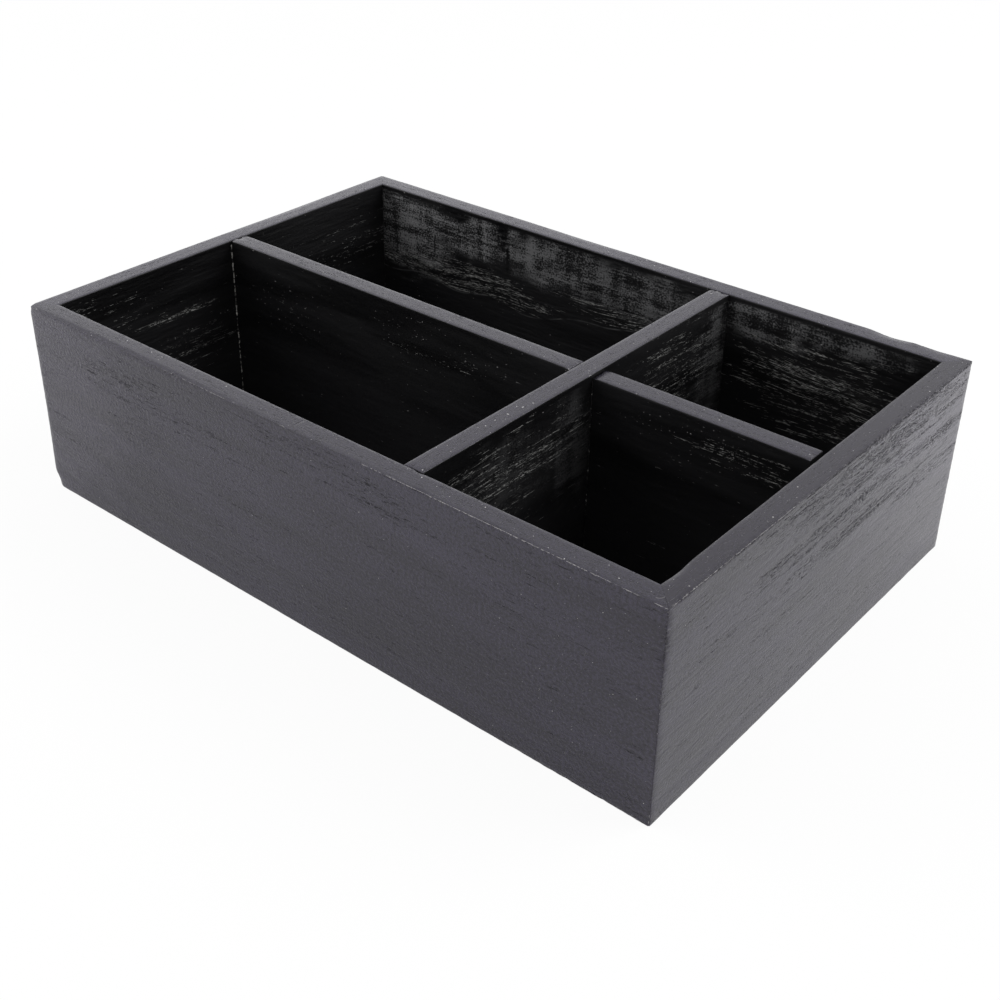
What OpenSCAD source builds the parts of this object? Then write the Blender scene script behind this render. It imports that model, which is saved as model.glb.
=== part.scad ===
// Divided wooden tray for a coffee station: four mitred wall boards round a let-in
// bottom panel, with one cross divider and two side dividers that make four compartments.
// X runs left to right, Y front to back, Z up. The origin is the middle of the underside.

/* [Box] */
// Outside width, left to right
box_w = 330; // [250:1:480]
// Outside depth, front to back
box_d = 220; // [160:1:320]
// Outside height
box_h = 90; // [70:1:150]

/* [Boards] */
// Thickness of the four wall boards
wall_t = 9.5; // [8:0.5:14]
// Thickness of the three dividers
divider_t = 9.5; // [6:0.5:14]
// Radius that the boards' long edges are sanded to
edge_r = 0.8; // [0.4:0.1:2]
// Radius of the four upright outside corners
corner_r = 1.2; // [0.4:0.1:3]

/* [Bottom panel] */
// Thickness of the bottom panel
panel_t = 4; // [3:0.5:8]
// How far the rebate for the panel goes into each wall board
rebate_w = 5; // [4:0.5:6]
// Clearance between the panel's edge and the side of the rebate
panel_clear = 0.2; // [0:0.1:0.5]

/* [Dividers] */
// Middle of the cross divider, to the right of the box's middle
cross_x = 51.5; // [10:0.5:65]
// Middle of the left divider, behind the box's middle
left_y = 1; // [-30:0.5:30]
// Middle of the right divider, behind the box's middle
right_y = 3.5; // [-30:0.5:30]
// How far the right divider's top lies below the rim
right_drop = 1.5; // [0:0.5:5]
// Open gap between the right divider's end and the right board
right_gap = 2.5; // [0.5:0.5:5]

/* [Brads] */
// Diameter of every brad's shank
brad_d = 1.2; // [0.8:0.1:1.6]
// Diameter of every brad's head
brad_head_d = 1.9; // [1.7:0.1:2.4]
// Thickness of every brad's head
brad_head_t = 0.6; // [0.4:0.1:1]
// Clearance round a brad in its hole
brad_clear = 0.02; // [0.01:0.01:0.05]
// Length of the brads through the walls and the cross divider
brad_l = 25; // [20:1:30]
// How deep their heads are set below the wood
brad_set = 1.5; // [1:0.5:2]
// Distance from the rim down to the highest row of those brads
brad_rim = 15; // [10:1:20]
// Length of the brads up through the bottom panel
panel_brad_l = 16; // [12:1:20]
// How deep their heads are set into the panel
panel_brad_set = 0.5; // [0.5:0.1:1]
// Height left between the panel brads' tips and the lowest row of wall brads
brad_row_gap = 4; // [3:1:8]
// Number of panel brads along the front and the back board
long_brads = 5; // [2:1:8]
// Number of panel brads along the left and the right board
short_brads = 4; // [2:1:6]
// Number of panel brads under the cross divider
cross_brads = 4; // [2:1:6]
// Number of panel brads under the left divider
left_brads = 4; // [2:1:6]
// Number of panel brads under the right divider
right_brads = 2; // [2:1:4]

/* [Hidden] */
$fn = 48;

paint = [0.24, 0.23, 0.25];
inside_paint = [0.10, 0.10, 0.11];
steel = [0.66, 0.67, 0.69];

// Space past a solid, for cuts that must run clear of it
over = 1;

// Faces of the box and of the hollow inside it
outer_x = box_w / 2;
outer_y = box_d / 2;
inner_x = outer_x - wall_t;
inner_y = outer_y - wall_t;

// The panel fills the rebates but for the clearance
rebate_x = inner_x + rebate_w;
rebate_y = inner_y + rebate_w;
panel_x = rebate_x - panel_clear;
panel_y = rebate_y - panel_clear;

// Faces of the cross divider, and the height that stands above the panel
cross_left_x = cross_x - divider_t / 2;
cross_right_x = cross_x + divider_t / 2;
divider_h = box_h - panel_t;
left_len = cross_left_x + inner_x;
right_len = inner_x - right_gap - cross_right_x;

// Heights of the three rows of wall brads
low_row = panel_brad_set + panel_brad_l + brad_row_gap;
high_row = box_h - brad_rim;
middle_row = (low_row + high_row) / 2;
rows = [low_row, middle_row, high_row];

// Middle of the wood that each panel brad goes up into, along the walls
edge_line_x = (inner_x + panel_x) / 2;
edge_line_y = (inner_y + panel_y) / 2;

// Turns that point a brad, whose own direction is up, along each axis
UPWARD = [0, 0, 0];
RIGHTWARD = [0, 90, 0];
LEFTWARD = [0, -90, 0];
BACKWARD = [-90, 0, 0];
FORWARD = [90, 0, 0];

// Even places along a length, the outer ones half a step from its ends
function spread(from, to, count) = [for (i = [0 : count - 1]) from + (to - from) * (i + 0.5) / count];

// A brad's place and turn for each joint
function corner_sites(side, face) = [
    for (z = [low_row, high_row])
        [[side * (outer_x - wall_t / 2), face * (outer_y - brad_set), z], face < 0 ? BACKWARD : FORWARD],
    [[side * (outer_x - brad_set), face * (outer_y - wall_t / 2), middle_row], side < 0 ? RIGHTWARD : LEFTWARD]
];
function cross_sites(face) = [
    for (z = rows) [[cross_x, face * (outer_y - brad_set), z], face < 0 ? BACKWARD : FORWARD]
];
left_wall_sites = [for (z = rows) [[brad_set - outer_x, left_y, z], RIGHTWARD]];
left_cross_sites = [for (z = rows) [[cross_right_x - brad_set, left_y, z], LEFTWARD]];
function long_edge_sites(face) = [
    for (x = spread(-inner_x, inner_x, long_brads))
        [[x, face * edge_line_y, panel_brad_set], UPWARD]
];
function short_edge_sites(side) = [
    for (y = spread(-inner_y, inner_y, short_brads))
        [[side * edge_line_x, y, panel_brad_set], UPWARD]
];
cross_bottom_sites = [
    for (y = spread(-inner_y, inner_y, cross_brads))
        [[cross_x, y, panel_brad_set], UPWARD]
];
left_bottom_sites = [
    for (x = spread(-inner_x, cross_left_x, left_brads))
        [[x, left_y, panel_brad_set], UPWARD]
];
right_bottom_sites = [
    for (x = spread(cross_right_x, cross_right_x + right_len, right_brads))
        [[x, right_y, panel_brad_set], UPWARD]
];

// Flat shapes

// A rectangle with four round corners, standing on the X axis and centred on the Y axis
module rounded_section(w, h, r) {
    translate([-w / 2, r]) square([w, h - 2 * r]);
    translate([r - w / 2, 0]) square([w - 2 * r, h]);
    for (x = [r - w / 2, w / 2 - r])
        for (y = [r, h - r])
            translate([x, y]) circle(r);
}

// A divider's section: square at the foot, rounded along the top
module divider_section(h) {
    rounded_section(divider_t, h, edge_r);
    translate([-divider_t / 2, 0]) square([divider_t, h / 2]);
}

// A wall along the front between its mitres, seen from above: long is half its outside length,
// depth how far its outer face stands from the box's middle
module mitred_plan(long, depth) {
    polygon([
        [-long, -depth], [long, -depth],
        [long - wall_t, wall_t - depth], [wall_t - long, wall_t - depth]
    ]);
}

// Brads and their holes

// A wire brad that stands on its head, or its hole where clear is more than zero
module brad(l, clear) {
    cylinder(h = brad_head_t + clear, d = brad_head_d + 2 * clear);
    cylinder(h = l + clear, d = brad_d + 2 * clear);
}

module brads(sites, l = brad_l, clear = 0) {
    for (site = sites)
        translate(site[0]) rotate(site[1]) brad(l, clear);
}

// A node of steel brads
module brad_nodes(sites, l = brad_l) {
    color(steel) brads(sites, l);
}

// The panel's brads stay open to the underside, where their heads show
module panel_brad_holes(sites) {
    brads(sites, panel_brad_l, brad_clear);
    for (site = sites)
        translate([site[0][0], site[0][1], -over])
            cylinder(h = over + panel_brad_set + brad_head_t, d = brad_head_d + 2 * brad_clear);
}

// Holes of the brads that pin the mitres
module corner_holes() {
    for (side = [-1, 1])
        for (face = [-1, 1])
            brads(corner_sites(side, face), brad_l, brad_clear);
}

// Holes of the brads that pin the panel to the walls
module panel_edge_holes() {
    for (s = [-1, 1]) {
        panel_brad_holes(long_edge_sites(s));
        panel_brad_holes(short_edge_sites(s));
    }
}

// Wall boards

// The part of the box inside which every wall board stays: it rounds the upright corners
module box_envelope() {
    translate([0, -outer_y, 0]) linear_extrude(box_h) rounded_section(box_w, box_d, corner_r);
}

// The space that the rebates give the panel, below its upper face
module rebate_cut() {
    translate([-rebate_x, -rebate_y, -over]) cube([2 * rebate_x, 2 * rebate_y, panel_t + over]);
}

// The same wall with its sanded section, along the front
module wall_blank(long, depth) {
    intersection() {
        translate([-long, wall_t / 2 - depth, 0])
            rotate([90, 0, 90]) linear_extrude(2 * long) rounded_section(wall_t, box_h, edge_r);
        linear_extrude(box_h) mitred_plan(long, depth);
    }
}

// A wall turned to its side of the box, less the rebate, the brads it shares and its children
module wall_board(turn, long, depth) {
    color(paint) difference() {
        intersection() {
            rotate([0, 0, turn]) wall_blank(long, depth);
            box_envelope();
        }
        rebate_cut();
        corner_holes();
        panel_edge_holes();
        children();
    }
}

module front_board() {
    wall_board(0, outer_x, outer_y) brads(cross_sites(-1), brad_l, brad_clear);
}

module back_board() {
    wall_board(180, outer_x, outer_y) brads(cross_sites(1), brad_l, brad_clear);
}

module left_board() {
    wall_board(-90, outer_y, outer_x) brads(left_wall_sites, brad_l, brad_clear);
}

module right_board() {
    wall_board(90, outer_y, outer_x);
}

// Bottom panel

module bottom_panel() {
    color(inside_paint) difference() {
        translate([-panel_x, -panel_y, 0]) cube([2 * panel_x, 2 * panel_y, panel_t]);
        panel_edge_holes();
        panel_brad_holes(cross_bottom_sites);
        panel_brad_holes(left_bottom_sites);
        panel_brad_holes(right_bottom_sites);
    }
}

// Dividers

module cross_divider() {
    color(paint) difference() {
        translate([cross_x, inner_y, panel_t])
            rotate([90, 0, 0]) linear_extrude(2 * inner_y) divider_section(divider_h);
        brads(cross_sites(-1), brad_l, brad_clear);
        brads(cross_sites(1), brad_l, brad_clear);
        brads(left_cross_sites, brad_l, brad_clear);
        panel_brad_holes(cross_bottom_sites);
    }
}

module left_divider() {
    color(paint) difference() {
        translate([-inner_x, left_y, panel_t])
            rotate([90, 0, 90]) linear_extrude(left_len) divider_section(divider_h);
        brads(left_wall_sites, brad_l, brad_clear);
        brads(left_cross_sites, brad_l, brad_clear);
        panel_brad_holes(left_bottom_sites);
    }
}

module right_divider() {
    color(paint) difference() {
        translate([cross_right_x, right_y, panel_t])
            rotate([90, 0, 90]) linear_extrude(right_len) divider_section(divider_h - right_drop);
        panel_brad_holes(right_bottom_sites);
    }
}

front_board();
back_board();
left_board();
right_board();
bottom_panel();
cross_divider();
left_divider();
right_divider();
brad_nodes(corner_sites(-1, -1));  // front_left_corner_brads
brad_nodes(corner_sites(1, -1));  // front_right_corner_brads
brad_nodes(corner_sites(-1, 1));  // back_left_corner_brads
brad_nodes(corner_sites(1, 1));  // back_right_corner_brads
brad_nodes(cross_sites(-1));  // cross_divider_front_brads
brad_nodes(cross_sites(1));  // cross_divider_back_brads
brad_nodes(left_wall_sites);  // left_divider_wall_brads
brad_nodes(left_cross_sites);  // left_divider_cross_brads
brad_nodes(long_edge_sites(-1), panel_brad_l);  // bottom_panel_front_brads
brad_nodes(long_edge_sites(1), panel_brad_l);  // bottom_panel_back_brads
brad_nodes(short_edge_sites(-1), panel_brad_l);  // bottom_panel_left_brads
brad_nodes(short_edge_sites(1), panel_brad_l);  // bottom_panel_right_brads
brad_nodes(cross_bottom_sites, panel_brad_l);  // cross_divider_bottom_brads
brad_nodes(left_bottom_sites, panel_brad_l);  // left_divider_bottom_brads
brad_nodes(right_bottom_sites, panel_brad_l);  // right_divider_bottom_brads
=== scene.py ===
import math
from contextlib import contextmanager

import bpy
import numpy as np
from bpy.props import FloatProperty, FloatVectorProperty, PointerProperty
from mathutils import Euler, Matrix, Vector


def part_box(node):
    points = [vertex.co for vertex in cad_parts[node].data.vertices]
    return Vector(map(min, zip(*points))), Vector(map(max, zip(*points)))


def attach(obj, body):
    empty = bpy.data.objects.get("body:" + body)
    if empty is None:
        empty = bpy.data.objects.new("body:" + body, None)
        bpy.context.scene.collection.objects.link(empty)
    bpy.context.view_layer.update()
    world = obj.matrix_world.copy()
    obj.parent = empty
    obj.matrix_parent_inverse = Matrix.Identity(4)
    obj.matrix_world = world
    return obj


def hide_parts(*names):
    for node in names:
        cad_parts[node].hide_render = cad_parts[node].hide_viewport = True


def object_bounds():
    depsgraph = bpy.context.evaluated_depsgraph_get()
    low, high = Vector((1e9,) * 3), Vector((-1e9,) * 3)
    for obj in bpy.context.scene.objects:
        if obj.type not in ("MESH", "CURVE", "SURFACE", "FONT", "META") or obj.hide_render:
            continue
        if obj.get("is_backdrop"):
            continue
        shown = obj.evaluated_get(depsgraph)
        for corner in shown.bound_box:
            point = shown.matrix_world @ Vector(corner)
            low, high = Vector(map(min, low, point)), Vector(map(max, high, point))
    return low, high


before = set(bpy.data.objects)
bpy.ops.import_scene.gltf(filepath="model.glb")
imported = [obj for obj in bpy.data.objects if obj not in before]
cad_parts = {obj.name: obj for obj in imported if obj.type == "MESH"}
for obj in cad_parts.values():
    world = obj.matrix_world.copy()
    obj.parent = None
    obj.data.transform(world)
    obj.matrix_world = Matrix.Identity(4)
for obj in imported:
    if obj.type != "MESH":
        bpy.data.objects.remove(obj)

bl_info = {
    "name": "Coffee Station Organizer",
    "version": (1, 0, 0),
    "blender": (4, 5, 0),
    "location": "View3D > Sidebar > Organizer",
    "description": "Models and finishes a black painted wooden organizer with four compartments",
    "category": "Object",
}

CAD_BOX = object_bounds()
MM = 0.001
X, Y, Z = range(3)
TOUCH = 1e-5        # Points nearer than this, in metres, lie on one face.
ALONG = 0.9999      # A direction with this much of an axis in it runs along the axis.
RIM_TILT = 0.75     # A face whose normal has this much of Z in it belongs to the rim.
JUST_PAST = 1.02    # A rounded arris is picked with this much to spare.

# What each wall board faces, and whether its grain runs along X or Y.
WALLS = {
    "front_board": (Vector((0, -1, 0)), 'X'),
    "back_board": (Vector((0, 1, 0)), 'X'),
    "left_board": (Vector((-1, 0, 0)), 'Y'),
    "right_board": (Vector((1, 0, 0)), 'Y'),
}
DIVIDERS = {"cross_divider": 'Y', "left_divider": 'X', "right_divider": 'X'}
BOTTOM = "bottom_panel"

# A face's paint is drawn on a sheet: along the grain first, then up an upright face or across a flat one.
SHEETS = {('X', "upright"): "XZY", ('Y', "upright"): "YZX", ('X', "flat"): "XYZ", ('Y', "flat"): "YXZ"}

# Half the width, half the depth, the height and the walls' thickness, in mm.
HALF_X, HALF_Y, TOP = (c / MM for c in CAD_BOX[1])
FRONT_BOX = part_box("front_board")
WALL = (FRONT_BOX[1] - FRONT_BOX[0]).y / MM


def length_prop(name, size, description):
    """A length, in mm."""
    return FloatProperty(name=name, description=description, default=size * MM, unit='LENGTH')


def share_prop(name, size, description):
    return FloatProperty(name=name, description=description, default=size, min=0, max=1, subtype='FACTOR')


def power_prop(name, size, description):
    return FloatProperty(name=name, description=description, default=size, unit='POWER')


def colour_prop(name, rgb, description):
    return FloatVectorProperty(name=name, description=description, default=rgb, subtype='COLOR', min=0, max=1)


class BoardProps(bpy.types.PropertyGroup):
    """Sizes of the boards and of their worn arrises."""
    wall_t: length_prop("Wall Thickness", WALL, "Thickness of the four wall boards")
    panel_room: length_prop("Panel Room", 0.2, "Clearance between the bottom panel and its rebate")
    corner_round: length_prop("Corner Radius", 0.9, "Rounding of the four upright corners")
    outer_arris: length_prop("Outer Arris", 0.6, "Rounding of the outer top edges")
    inner_arris: length_prop("Inner Arris", 0.4, "Rounding of the rim's inner edges and the dividers' tops")
    foot_arris: length_prop("Foot Arris", 0.35, "Rounding of the outer bottom edges")
    panel_arris: length_prop("Panel Arris", 0.25, "Rounding of the bottom panel's lower edges")
    seam: length_prop("Seam", 0.03, "Half the width of the seam between two boards at a mitre")
    tuck: length_prop("Tuck", 0.12, "How far a divider's end is pressed into the board it meets")
    grain_depth: length_prop("Grain Depth", 0.12, "Depth of the open grain, cut into the boards' faces")
    swell_depth: length_prop("Swell Depth", 0.18, "Depth of the slow unevenness left by sanding by hand")


class PaintProps(bpy.types.PropertyGroup):
    """Colours of the paint and of what lies on it."""
    outside: colour_prop("Outside Paint", (0.0112, 0.0100, 0.0180), "Satin black on the outer faces and the rims")
    sheen: colour_prop("Satin Sheen", (0.93, 0.89, 1.0), "Tint of the outside paint's reflection")
    inside: colour_prop("Inside Paint", (0.0052, 0.0051, 0.0056), "Thin black in the compartments")
    outside_gloss: share_prop("Outside Gloss", 0.57, "Reflection of the outside paint; 0.5 is plain gloss paint")
    inside_gloss: share_prop("Inside Gloss", 0.22, "Reflection of the inside paint; 0.5 is plain gloss paint")
    # The pore colour also lays painted shadow: a dark line along the right wall's top arris, and across the
    # dividers' rims at their ends.
    pore: colour_prop("Pores", (0.004, 0.004, 0.005), "Open pores, where the paint sank in")
    # Painted sheen: a pale colour laid on the outside paint where its reflection shows brighter, a painted
    # highlight.
    bloom: colour_prop("Bloom", (0.60, 0.55, 0.70), "Faint pale bloom on the outside paint")
    # This grey also colours the flecks of painted glint on the inner faces.
    worn: colour_prop("Worn Paint", (0.30, 0.29, 0.29), "Paint rubbed thin along the arrises")
    # Grey of rubbed paint; on the inner faces it also lays a painted sheen, partly real scuffs and partly painted
    # light.
    scuff: colour_prop("Scuffs", (0.20, 0.20, 0.205), "Greyed paint on the inner faces")
    # Painted glint: the pale colour of light caught on the raised fibres of the inner faces, laid in strokes.
    fibre: colour_prop("Raised Fibres", (0.34, 0.34, 0.33), "Raised fibres of the inner faces, rubbed pale")
    dust: colour_prop("Dust", (0.62, 0.61, 0.60), "Fine specks of dust")


class BeadProps(bpy.types.PropertyGroup):
    """The beads of dried glue in the compartments' upright corners."""
    radius: length_prop("Bead Radius", 0.5, "Radius of a bead before it is broken up")
    stop_short: length_prop("Stop Short", 1.4, "How far a bead's top stays below the rim")
    colour: colour_prop("Glue", (0.42, 0.41, 0.39), "Dried glue where the paint missed it")


class BradProps(bpy.types.PropertyGroup):
    """The brads, whose heads show in the underside."""
    steel: colour_prop("Steel", (0.56, 0.57, 0.58), "Bright steel of the brads")
    hole_room: length_prop("Hole Clearance", 0.08, "Clearance of the holes round the brads' heads")
    hole_flare: length_prop("Hole Flare", 0.3, "How much wider a hole is at the surface")


class StageProps(bpy.types.PropertyGroup):
    """The camera, the floor and the light."""
    lens: FloatProperty(
        name="Lens", description="Focal length on a 36 mm sensor, in millimetres", default=51.382)
    shift: FloatVectorProperty(
        name="Shift", description="Shift of the picture, in picture widths", size=2, default=(0.02, -0.07))
    camera_at: FloatVectorProperty(
        name="Camera", description="Where the camera stands",
        default=(0.34411, -0.41300, 0.34978), subtype='TRANSLATION')
    look_at: FloatVectorProperty(
        name="Look At", description="The point that the camera looks at",
        default=(0.00071, -0.0039, 0.045), subtype='TRANSLATION')
    roll: FloatProperty(
        name="Roll", description="The camera's tilt about its own axis", default=math.radians(0.602),
        subtype='ANGLE')
    floor: FloatProperty(name="Floor", description="Side of the floor", default=8.0, unit='LENGTH')
    floor_glow: share_prop("Floor Glow", 0.93, "Share of plain white in what the camera sees of the floor")
    floor_gloss: share_prop("Floor Gloss", 0.35, "The same share in what the paint reflects of the floor")
    key_power: power_prop("Key Light", 15.5, "Power of the key light, behind on the right")
    fill_power: power_prop("Fill Light", 11.0, "Power of the fill light, in front on the left")
    rim_power: power_prop("Rim Light", 1.6, "Power of the low light behind on the left")
    world_light: FloatProperty(
        name="World Light", description="Strength at which the world lights the boards", default=0.70)


def deselect():
    """Leaves object mode's selection empty."""
    bpy.ops.object.select_all(action='DESELECT')


def hold(piece):
    """Makes this piece the only selected one, and the active one."""
    deselect()
    piece.select_set(True)
    bpy.context.view_layer.objects.active = piece


def duplicate(piece):
    """A copy of the piece, with a mesh of its own."""
    hold(piece)
    bpy.ops.object.duplicate()
    return bpy.context.object


def join(pieces):
    """One piece of several."""
    hold(pieces[0])
    for piece in pieces:
        piece.select_set(True)
    bpy.ops.object.join()
    return pieces[0]


@contextmanager
def editing(piece):
    """Edit mode on one piece."""
    hold(piece)
    bpy.ops.object.mode_set(mode='EDIT')
    try:
        yield
    finally:
        bpy.ops.object.mode_set(mode='OBJECT')


def read(items, what, width=3, kind=float):
    """One property of many mesh elements, as an array."""
    out = np.empty(len(items) * width, kind)
    items.foreach_get(what, out)
    return out.reshape(-1, width)


def places(mesh, kind):
    """Place and direction of each face, by its normal, or of each edge, by its run; and an edge's length."""
    if kind == 'FACE':
        return read(mesh.polygons, "center"), read(mesh.polygons, "normal"), None
    ends = read(mesh.vertices, "co")[read(mesh.edges, "vertices", 2, np.int32)]
    run = ends[:, 1] - ends[:, 0]
    size = np.maximum(np.linalg.norm(run, axis=1), 1e-9)
    return ends.mean(1), run / size[:, None], size


def pick(piece, kind, test):
    """Selects just the faces or edges for which the test holds, by place, direction and an edge's length."""
    mesh = piece.data
    at, way, size = places(mesh, kind)
    chosen = test(at, way) if size is None else test(at, way, size)
    for items, name in ((mesh.vertices, 'VERT'), (mesh.edges, 'EDGE'), (mesh.polygons, 'FACE')):
        items.foreach_set("select", chosen if name == kind else np.zeros(len(items), bool))
    bpy.context.tool_settings.mesh_select_mode = [kind == k for k in ('VERT', 'EDGE', 'FACE')]
    if not chosen.any():
        raise RuntimeError(f"nothing to select on {piece.name}")


def runs(way, axis):
    """Which directions run along an axis."""
    return np.abs(way[:, axis]) > ALONG


def level(at, height):
    """Which points lie at a height."""
    return np.abs(at[:, Z] - height) < TOUCH


def is_rim(at, way, top):
    """Which faces belong to the rim of a board that ends at this height."""
    return (way[:, Z] > RIM_TILT) & (at[:, Z] > top - MM)


def cube(name, low, high):
    """A cube primitive between two corners, with its place in its mesh."""
    deselect()
    bpy.ops.mesh.primitive_cube_add(size=1, location=(low + high) / 2, scale=high - low)
    bpy.ops.object.transform_apply(location=True, rotation=True, scale=True)
    piece = bpy.context.object
    piece.name = piece.data.name = name
    return piece


def bevel(piece, test, width, segments):
    """Rounds the edges for which the test holds."""
    pick(piece, 'EDGE', test)
    with editing(piece):
        bpy.ops.mesh.bevel(offset=width, offset_type='OFFSET', segments=segments, profile=0.5,
                           affect='EDGES', clamp_overlap=True)


def split(piece, test, *parts):
    """Cuts the edges for which the test holds into parts, once for each number."""
    for number in parts:
        pick(piece, 'EDGE', test)
        with editing(piece):
            bpy.ops.mesh.subdivide(number_cuts=number - 1)


def weigh(piece, name, weights):
    """A vertex group with one weight a vertex, in thirty-seconds."""
    group = piece.vertex_groups.new(name=name)
    levels = np.rint(np.clip(weights, 0, 1) * 32).astype(int)
    for level in np.unique(levels[levels > 0]):
        group.add(np.flatnonzero(levels == level).tolist(), level / 32, 'REPLACE')
    return name


def finish_with(piece, kind, **settings):
    """Adds a modifier and applies it."""
    hold(piece)
    modifier = piece.modifiers.new(kind.title(), kind)
    for key, value in settings.items():
        setattr(modifier, key, value)
    bpy.ops.object.modifier_apply(modifier=modifier.name)


def carve(piece, group, depth, cell, seed, grain='X', start=0.0, full=1.0, detail=2):
    """Pushes a weighted part of the surface inwards by a cloud pattern, whose cells have this size in mm, along
    the grain first. Below start the pattern cuts nothing, and at full it cuts the whole depth."""
    texture = bpy.data.textures.new("Cut", 'CLOUDS')
    texture.noise_scale = 1.0
    texture.noise_depth = detail
    texture.noise_basis = 'ORIGINAL_PERLIN'
    texture.use_color_ramp = True
    low, high = texture.color_ramp.elements[0], texture.color_ramp.elements[1]
    low.position, low.color = start, (1, 1, 1, 1)
    high.position, high.color = full, (0, 0, 0, 1)
    deselect()
    bpy.ops.object.empty_add(location=(0.071 * seed, 0.113 * seed, 0.037 * seed),
                             rotation=(0, 0, math.pi / 2 if grain == 'Y' else 0))
    ruler = bpy.context.object
    ruler.scale = [size * MM for size in cell]
    bpy.context.view_layer.update()
    finish_with(piece, 'DISPLACE', texture=texture, texture_coords='OBJECT', texture_coords_object=ruler,
                vertex_group=group, mid_level=1.0, strength=depth, direction='NORMAL')
    bpy.data.objects.remove(ruler)
    bpy.data.textures.remove(texture)


def sink(piece, group, way):
    """Moves a weighted part of the surface by up to this much along each axis, in mm."""
    for axis, size in zip("XYZ", way):
        if size:
            finish_with(piece, 'DISPLACE', vertex_group=group, mid_level=0.0, strength=size * MM, direction=axis)


def near(at, spots):
    """How near each point is to the closest of some spots, from 0 at its reach to 1 at its middle."""
    best = np.zeros(len(at))
    for centre, reach, force in spots:
        gap = np.linalg.norm((at - np.array(centre) * MM) / (np.array(reach) * MM), axis=1)
        inside = np.clip(1 - gap, 0, 1)
        best = np.maximum(best, force * inside ** 2 * (3 - 2 * inside))
    return best


def coat(piece, materials, choose):
    """Gives the piece its materials, and each face the one that choose names by place and normal."""
    piece.data.materials.clear()
    for material in materials:
        piece.data.materials.append(material)
    at, way, _ = places(piece.data, 'FACE')
    piece.data.polygons.foreach_set("material_index", choose(at, way).astype(np.int32))


def done(piece, name, slot, *nodes):
    """Last steps of every piece: smooth shading, its name, and its place in the frame."""
    hold(piece)
    at = np.clip(read(piece.data.vertices, "co"), CAD_BOX[0], CAD_BOX[1])
    piece.data.vertices.foreach_set("co", at.ravel())
    piece.data.update()
    bpy.ops.object.shade_smooth_by_angle(angle=math.radians(38))
    piece.vertex_groups.clear()
    piece.name = piece.data.name = name
    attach(piece, "root")
    if nodes:
        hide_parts(*nodes)


class Wires:
    """Adds nodes to a tree. Each call returns the new node's output, which can feed the next."""

    def __init__(self, tree):
        self.tree = tree

    def node(self, kind, feeds=(), **settings):
        node = self.tree.nodes.new(kind)
        for key, value in settings.items():
            setattr(node, key, value)
        for key, value in dict(feeds).items():
            self.feed(node.inputs[key], value)
        return node

    def feed(self, socket, value):
        if isinstance(value, bpy.types.NodeSocket):
            self.tree.links.new(value, socket)
        else:
            socket.default_value = value

    def math(self, operation, *values):
        return self.node("ShaderNodeMath", enumerate(values), operation=operation).outputs[0]

    def chain(self, operation, first, *others):
        for other in others:
            first = self.math(operation, first, other)
        return first

    def product(self, *values):
        return self.chain('MULTIPLY', *values)

    def total(self, *values):
        return self.chain('ADD', *values)

    def highest(self, *values):
        return self.chain('MAXIMUM', *values)

    def lowest(self, *values):
        return self.chain('MINIMUM', *values)

    def less(self, value, taken):
        return self.math('SUBTRACT', value, taken)

    def ratio(self, value, unit):
        return self.math('DIVIDE', value, unit)

    def vector(self, operation, *values):
        node = self.node("ShaderNodeVectorMath", enumerate(values), operation=operation)
        return node.outputs["Value" if operation == 'LENGTH' else "Vector"]

    def axes(self, vector):
        return self.node("ShaderNodeSeparateXYZ", {0: vector}).outputs

    def join(self, *axes):
        return self.node("ShaderNodeCombineXYZ", enumerate(axes)).outputs[0]

    def fade(self, value, start, end, low=0.0, high=1.0):
        """From low to high while the value goes from start to end."""
        return self.node("ShaderNodeMapRange", {0: value, 1: start, 2: end, 3: low, 4: high},
                         interpolation_type='SMOOTHSTEP').outputs[0]

    def mix(self, share, a, b):
        return self.node("ShaderNodeMix", {0: share, 6: a, 7: b}, data_type='RGBA').outputs[2]

    def layer(self, colour, *layers):
        """A colour with others laid over it, each with its mask."""
        for mask, cover in layers:
            colour = self.mix(mask, colour, cover)
        return colour

    def noise(self, vector, scale, detail):
        """Noise in three dimensions, around 0.5."""
        return self.node("ShaderNodeTexNoise", {"Vector": vector, "Scale": scale, "Detail": detail}).outputs[0]

    def cloud(self, vector, width, height=None, detail=2.0):
        """Flat noise whose cells have this width and height, around 0.5."""
        axes = self.axes(vector)
        sized = self.join(self.ratio(axes[X], width), self.ratio(axes[Y], height or width))
        return self.node("ShaderNodeTexNoise", {"Vector": sized, "Scale": 1.0, "Detail": detail, "Roughness": 0.5},
                         noise_dimensions='2D').outputs[0]

    def effect(self, build, **feeds):
        """The outputs of a shared effect. A socket's name is given in small letters, with _ for a space."""
        node = self.node("ShaderNodeGroup", node_tree=shared(build))
        for key, value in feeds.items():
            self.feed(node.inputs[key.replace("_", " ").title()], value)
        return node.outputs

    def patches(self, sheet, spots, ground=0.0):
        """A ground level, raised by the strongest of some soft patches: place, reach and force of each, in mm."""
        raised = []
        for x, y, reach_x, reach_y, force in spots:
            patch = self.effect(soft_patch, vector=sheet, centre=(x * MM, y * MM, 0.0),
                                reach=(reach_x * MM, reach_y * MM, 1.0))[0]
            raised.append(self.product(patch, force))
        return self.total(self.highest(*raised), ground) if raised else ground


def shared(build):
    """The node group that a function wires up, made at its first use."""
    name = build.__name__.replace("_", " ").title()
    return bpy.data.node_groups.get(name) or build(name)


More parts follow.
